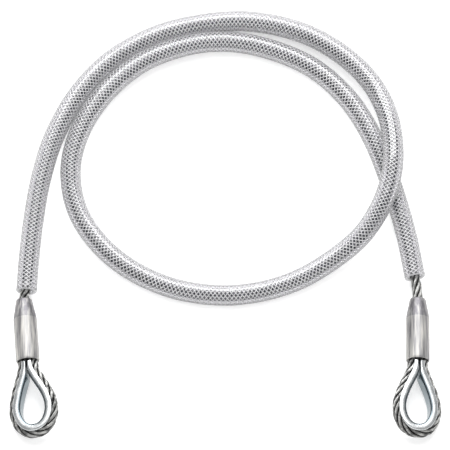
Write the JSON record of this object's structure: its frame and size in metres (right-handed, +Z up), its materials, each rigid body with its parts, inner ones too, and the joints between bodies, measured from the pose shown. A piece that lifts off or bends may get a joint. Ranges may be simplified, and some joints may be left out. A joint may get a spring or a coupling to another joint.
{
  "type": "wire rope anchor sling",
  "caption": "Steel wire rope sling in a clear braided hose, with a thimble eye in a pressed ferrule at each end, laid in a loose coil.",
  "frame": {"origin": "middle of the sling as it lies, on the surface under it", "axes": "+Z up from the surface, -Y towards the two eyes, +X from the left eye to the right eye"},
  "size_m": [0.3309, 0.3518, 0.0329],
  "materials": {
    "clear_pvc": "clear, smooth and glossy",
    "braid_yarn": "white polyester yarn, braided",
    "rope_steel": "galvanised wires",
    "pressed_aluminium": "pressed, satin with smears",
    "zinc_plate": "bright zinc plate"
  },
  "bodies": {
    "coil": {"hose_outer_jacket": "clear_pvc", "hose_braid_layer": "braid_yarn", "hose_inner_liner": "clear_pvc", "rope_main_run": "rope_steel"},
    "left_neck": {"left_neck_core": "rope_steel", "left_neck_strand_1": "rope_steel", "left_neck_strand_2": "rope_steel", "left_neck_strand_3": "rope_steel", "left_neck_strand_4": "rope_steel", "left_neck_strand_5": "rope_steel", "left_neck_strand_6": "rope_steel"},
    "left_eye": {"left_ferrule": "pressed_aluminium", "left_thimble": "zinc_plate", "left_eye_rope": "rope_steel"},
    "right_neck": {"right_neck_core": "rope_steel", "right_neck_strand_1": "rope_steel", "right_neck_strand_2": "rope_steel", "right_neck_strand_3": "rope_steel", "right_neck_strand_4": "rope_steel", "right_neck_strand_5": "rope_steel", "right_neck_strand_6": "rope_steel"},
    "right_eye": {"right_ferrule": "pressed_aluminium", "right_thimble": "zinc_plate", "right_eye_rope": "rope_steel"}
  },
  "joints": [
    {"name": "left_eye_sway", "type": "hinge", "parent": "coil", "child": "left_neck", "pos_m": [-0.1533, -0.05903, 0.0086], "axis": [0, 0, 1], "range_deg": [-20, 20], "stiffness_Nm_per_rad": 3, "deforming": ["left_neck_core", "left_neck_strand_1", "left_neck_strand_2", "left_neck_strand_3", "left_neck_strand_4", "left_neck_strand_5", "left_neck_strand_6"]},
    {"name": "left_eye_lift", "type": "hinge", "parent": "left_neck", "child": "left_eye", "pos_m": [-0.1533, -0.05903, 0.0086], "axis": [-0.9977, -0.068, 0], "range_deg": [0, 20], "stiffness_Nm_per_rad": 3, "deforming": ["left_neck_core", "left_neck_strand_1", "left_neck_strand_2", "left_neck_strand_3", "left_neck_strand_4", "left_neck_strand_5", "left_neck_strand_6"]},
    {"name": "right_eye_sway", "type": "hinge", "parent": "coil", "child": "right_neck", "pos_m": [0.1476, -0.05283, 0.0086], "axis": [0, 0, 1], "range_deg": [-20, 20], "stiffness_Nm_per_rad": 3, "deforming": ["right_neck_core", "right_neck_strand_1", "right_neck_strand_2", "right_neck_strand_3", "right_neck_strand_4", "right_neck_strand_5", "right_neck_strand_6"]},
    {"name": "right_eye_lift", "type": "hinge", "parent": "right_neck", "child": "right_eye", "pos_m": [0.1476, -0.05283, 0.0086], "axis": [-1, 0.007, 0], "range_deg": [0, 20], "stiffness_Nm_per_rad": 3, "deforming": ["right_neck_core", "right_neck_strand_1", "right_neck_strand_2", "right_neck_strand_3", "right_neck_strand_4", "right_neck_strand_5", "right_neck_strand_6"]}
  ]
}
